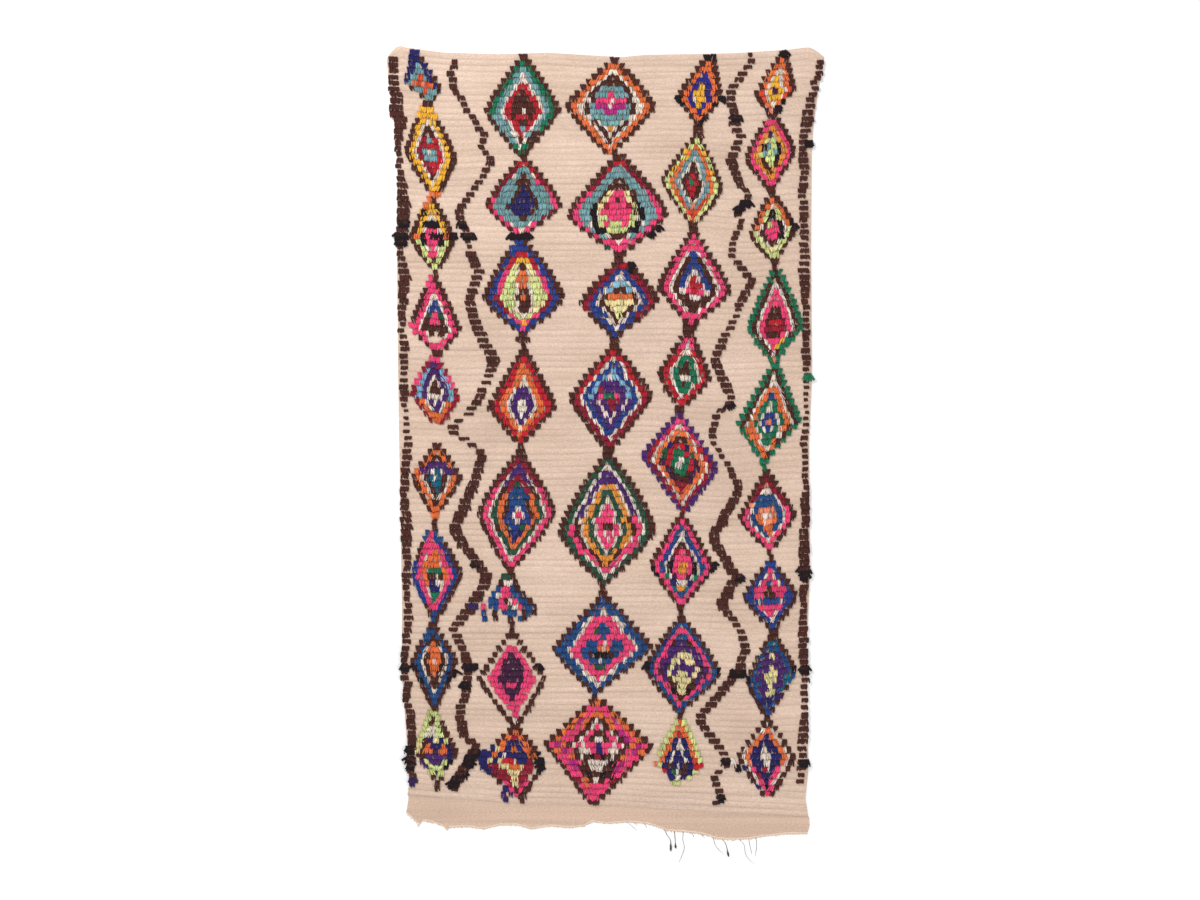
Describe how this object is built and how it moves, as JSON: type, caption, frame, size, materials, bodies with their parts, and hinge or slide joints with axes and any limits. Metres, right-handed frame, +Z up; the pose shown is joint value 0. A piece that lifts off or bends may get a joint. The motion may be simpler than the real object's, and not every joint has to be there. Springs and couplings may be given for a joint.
{
  "type": "moroccan rug",
  "caption": "Hand-knotted wool rug lying flat: ribbed cream ground, columns of raised coloured pile lozenges between brown knotted lines, and a plain woven end with a frayed edge.",
  "frame": {"origin": "centre of the rug's box, on the underside that lies on the floor", "axes": "+X across the rug, +Y along it towards the end without a fringe, +Z up out of the pile side"},
  "size_m": [1.354, 2.538, 0.01],
  "materials": {
    "ground_wool": "matte",
    "frayed_wool": "matte",
    "pile_yarn": "matte"
  },
  "bodies": {
    "root": {"rug": "ground_wool", "frayed_edge": "frayed_wool"}
  },
  "joints": []
}
